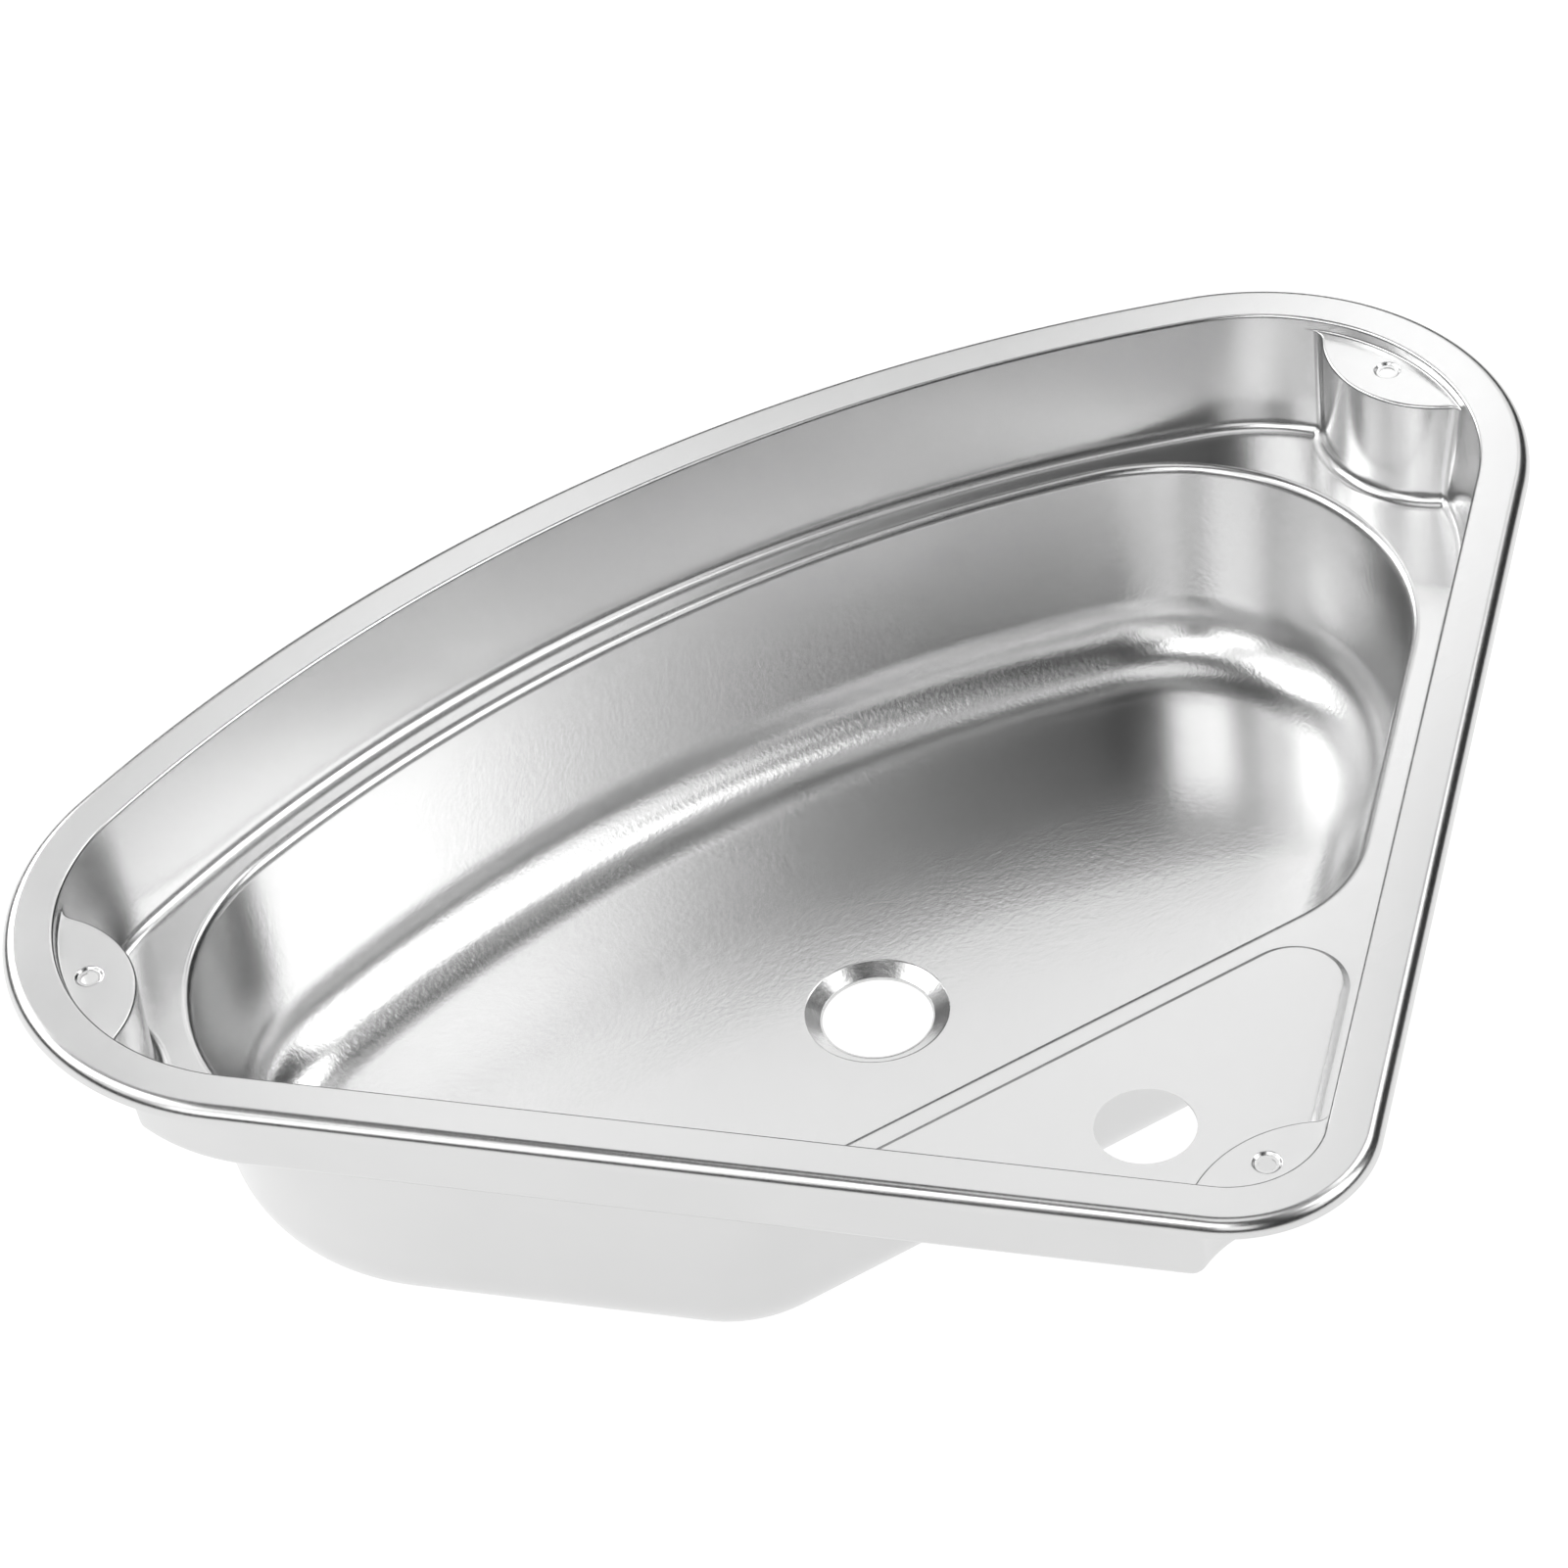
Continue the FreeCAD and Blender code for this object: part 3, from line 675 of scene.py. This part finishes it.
# %% [markdown]
# ## Satin stainless steel
# The sheet is cold-rolled chromium-nickel steel, brushed in the flat to a satin finish and then
# drawn. The eye gets three things from that. The brushing blurs reflections to soft bands, and more
# so across the grain than along it. Drawing stretches the sheet most in the bowl, where its crystals
# lift a fine orange peel. Handling leaves faint cloudy differences in the blur. An anisotropic shader
# could show the brushing, but the grain's direction is lost where the sheet is drawn, so a noise that
# is long one way and short the other does it as a bump, only on the parts that were hardly drawn.

# %% Coordinates on the steel
DRAWN_FROM = 0.094      # metres up: hardly drawn above this, fully drawn 20 mm further down
DRAWN_TO = 0.074
steel, tree, shader = new_material("satin_stainless_steel")
place = node(tree, "ShaderNodeTexCoord").outputs["Object"]
height_here = node(tree, "ShaderNodeSeparateXYZ", links={"Vector": place}).outputs["Z"]
# 0 on the flange and basin, 1 in the bowl
drawn = node(tree, "ShaderNodeMapRange", {"From Min": DRAWN_FROM, "From Max": DRAWN_TO},
             {"Value": height_here}).outputs["Result"]
print("nodes so far:", len(tree.nodes))

# %% Orange peel, clouds and brushing
PEEL = 0.0018           # metres: the crystals lift bumps 0.5 mm wide, drawn coarser so that they show
CLOUD = 0.060           # cloudy marks of handling, about 60 mm wide
LINE_LENGTH = 0.030     # brushing lines 30 mm long and 0.1 mm wide, drawn 0.5 mm wide to show
LINE_WIDTH = 0.0005
peel = node(tree, "ShaderNodeTexNoise", {"Scale": 1 / PEEL, "Detail": 2.0, "Roughness": 0.5},
            {"Vector": place}).outputs["Fac"]
clouds = node(tree, "ShaderNodeTexNoise", {"Scale": 1 / CLOUD, "Detail": 3.0, "Roughness": 0.6},
              {"Vector": place}).outputs["Fac"]
# the brushing belt ran along X
belt_scale = (1 / LINE_LENGTH, 1 / LINE_WIDTH, 1 / LINE_WIDTH)
along_belt = node(tree, "ShaderNodeMapping", {"Scale": belt_scale}, {"Vector": place}).outputs["Vector"]
lines = node(tree, "ShaderNodeTexNoise", {"Scale": 1.0, "Detail": 2.0, "Roughness": 0.6},
             {"Vector": along_belt}).outputs["Fac"]
print("patterns:", [n.name for n in tree.nodes if n.type == "TEX_NOISE"])

# %% Colour, blur and bump
SATIN_BLUR = (0.23, 0.25)       # roughness between the clouds and in them
PEEL_DEPTH = 0.00006            # metres, at most
LINE_SHARE = (0.25, 0.05)       # the brushing's depth beside the peel's, undrawn and drawn
tone = node(tree, "ShaderNodeValToRGB", links={"Fac": clouds})
tone.color_ramp.elements[0].color = to_linear("#D0D0D0")
tone.color_ramp.elements[1].color = to_linear("#D7D7D7")
blur = node(tree, "ShaderNodeMapRange",
            {"From Min": 0.3, "From Max": 0.7, "To Min": SATIN_BLUR[0], "To Max": SATIN_BLUR[1]},
            {"Value": clouds}).outputs["Result"]
line_share = node(tree, "ShaderNodeMapRange", {"To Min": LINE_SHARE[0], "To Max": LINE_SHARE[1]},
                  {"Value": drawn}).outputs["Result"]
peel_height = node(tree, "ShaderNodeMath", {"operation": "MULTIPLY"},
                   {0: peel, 1: drawn}).outputs["Value"]
line_height = node(tree, "ShaderNodeMath", {"operation": "MULTIPLY"},
                   {0: lines, 1: line_share}).outputs["Value"]
relief = node(tree, "ShaderNodeMath", {"operation": "ADD"},
              {0: peel_height, 1: line_height}).outputs["Value"]
bump = node(tree, "ShaderNodeBump", {"Strength": 1.0, "Distance": PEEL_DEPTH}, {"Height": relief})
shader.inputs["Metallic"].default_value = 1.0
tree.links.new(tone.outputs["Color"], shader.inputs["Base Color"])
tree.links.new(blur, shader.inputs["Roughness"])
tree.links.new(bump.outputs["Normal"], shader.inputs["Normal"])
sink_mesh.materials.append(steel)
print("steel:", len(tree.nodes), "nodes")

# %% [markdown]
# ## The sealing strip
# Under the flange lies a strip of closed-cell EPDM foam rubber, cut from a moulded sheet. Its cut
# faces show tiny open cells, dull and nearly black, with a grey bloom. It is only seen from below,
# so a noise for the cells does; a Voronoi texture would draw each cell, at a size nobody sees.

# %% Foam rubber
CELL = 0.0006           # metres: cells 0.3 mm wide, drawn 0.6 mm wide so that they show
PORE_DEPTH = 0.0001
rubber, tree, shader = new_material("closed_cell_epdm")
place = node(tree, "ShaderNodeTexCoord").outputs["Object"]
cells = node(tree, "ShaderNodeTexNoise", {"Scale": 1 / CELL, "Detail": 2.0},
             {"Vector": place}).outputs["Fac"]
bloom = node(tree, "ShaderNodeValToRGB", links={"Fac": cells})
bloom.color_ramp.elements[0].color = to_linear("#161616")
bloom.color_ramp.elements[1].color = to_linear("#2C2C2D")
dull = node(tree, "ShaderNodeMapRange", {"To Min": 0.75, "To Max": 0.95},
            {"Value": cells}).outputs["Result"]
pores = node(tree, "ShaderNodeBump", {"Strength": 0.5, "Distance": PORE_DEPTH}, {"Height": cells})
tree.links.new(bloom.outputs["Color"], shader.inputs["Base Color"])
tree.links.new(dull, shader.inputs["Roughness"])
tree.links.new(pores.outputs["Normal"], shader.inputs["Normal"])
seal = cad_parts["rim_seal"]
seal.data.materials.clear()
seal.data.materials.append(rubber)
print("rubber:", len(tree.nodes), "nodes")

# %% [markdown]
# ## A light table for a floor
# The sink was photographed over white. On a painted floor it would stand in its own shadow, and its
# outside would be dark, because steel shows what is round it. A light table, a sheet of opal acrylic
# lit from below, takes the shadow away and gives the outside its even light grey. Opal acrylic lets
# most of the light through and throws back only a fifth, so its own colour is grey and its glow
# makes it white.

# %% The floor
HALF_TABLE = 4.0        # metres
TABLE_GLOW = 0.89
TABLE_CLOUD = 0.15      # metres, the faint clouds in the casting
floor_mesh = bpy.data.meshes.new("light_table")
table = bmesh.new()
bmesh.ops.create_grid(table, x_segments=1, y_segments=1, size=HALF_TABLE)
table.to_mesh(floor_mesh)
table.free()
floor = bpy.data.objects.new("light_table", floor_mesh)
bpy.context.collection.objects.link(floor)
opal, tree, shader = new_material("opal_acrylic")
place = node(tree, "ShaderNodeTexCoord").outputs["Object"]
milky = node(tree, "ShaderNodeTexNoise", {"Scale": 1 / TABLE_CLOUD, "Detail": 2.0},
             {"Vector": place}).outputs["Fac"]
thrown_back = node(tree, "ShaderNodeValToRGB", links={"Fac": milky})
thrown_back.color_ramp.elements[0].color = to_linear("#7B7B7A")
thrown_back.color_ramp.elements[1].color = to_linear("#838383")
tree.links.new(thrown_back.outputs["Color"], shader.inputs["Base Color"])
shader.inputs["Roughness"].default_value = 0.6
shader.inputs["Emission Color"].default_value = to_linear("#FFFFFF")
shader.inputs["Emission Strength"].default_value = TABLE_GLOW
floor_mesh.materials.append(opal)
print("table:", 2 * HALF_TABLE, "m wide")

# %% [markdown]
# ## Soft light from rings of cards
# Steel is lit by what it mirrors, so the light is laid out as bright cards round the object, with gaps
# between them: each gap becomes one of the soft dark bands in the photograph. A sky texture or a
# plain white world would leave the steel flat and grey. The cards hang on a dome 3 m away, in two
# rings with one card above them and one overhead, and all face the sink. The widest gap is at the
# front, towards the user, and shows as the dark cloud in the bowl. Their strengths were found by
# rendering each card alone and fitting the sum to the light and dark of the photograph.

# %% Hang the cards
DOME = 3.0              # metres, round a point in the middle of the sink
AIM = Vector((0, 0, 0.1))
CARD = 1.15             # metres, the side of a card
STUDIO_GLOW = 0.01      # what little light the dark room throws back
RINGS = {               # height in degrees: pairs of compass direction, from +Y to +X, and watts
    30: [(-150, 5.9), (-110, 8.2), (-90, 2.6), (-70, 3.8), (-50, 11.8), (-30, 8.7), (-10, 20.7),
         (10, 2.1), (30, 3.3), (50, 4.9), (130, 11.7), (150, 5.8)],
    50: [(-129, 12.5), (-103, 2.5), (-77, 6.7), (-51, 13.7), (0, 1.8), (26, 4.9), (51, 1.1),
         (77, 12.7), (129, 10.9), (154, 1.2)],
    70: [(129, 1.8)],
    90: [(0, 5.3)],
}


def hang_card(compass, height, power):
    """A square softbox on the dome that faces the sink."""
    compass, height = math.radians(compass), math.radians(height)
    way = Vector((math.sin(compass) * math.cos(height), math.cos(compass) * math.cos(height),
                  math.sin(height)))
    card = bpy.data.lights.new("softbox", "AREA")
    card.shape = "SQUARE"
    card.size = CARD
    card.energy = power
    hung = bpy.data.objects.new("softbox", card)
    hung.matrix_world = (Matrix.Translation(way * DOME + AIM)
                         @ (-way).to_track_quat("-Z", "Y").to_matrix().to_4x4())
    bpy.context.collection.objects.link(hung)


for height, ring in RINGS.items():
    for compass, power in ring:
        hang_card(compass, height, power)
world = bpy.data.worlds.new("dark_studio")
bpy.context.scene.world = world
world.use_nodes = True
room = world.node_tree.nodes["Background"]
room.inputs["Color"].default_value = to_linear("#FFFFFF")
room.inputs["Strength"].default_value = STUDIO_GLOW
bpy.context.scene.view_settings.view_transform = "Standard"
print("cards:", sum(len(ring) for ring in RINGS.values()))
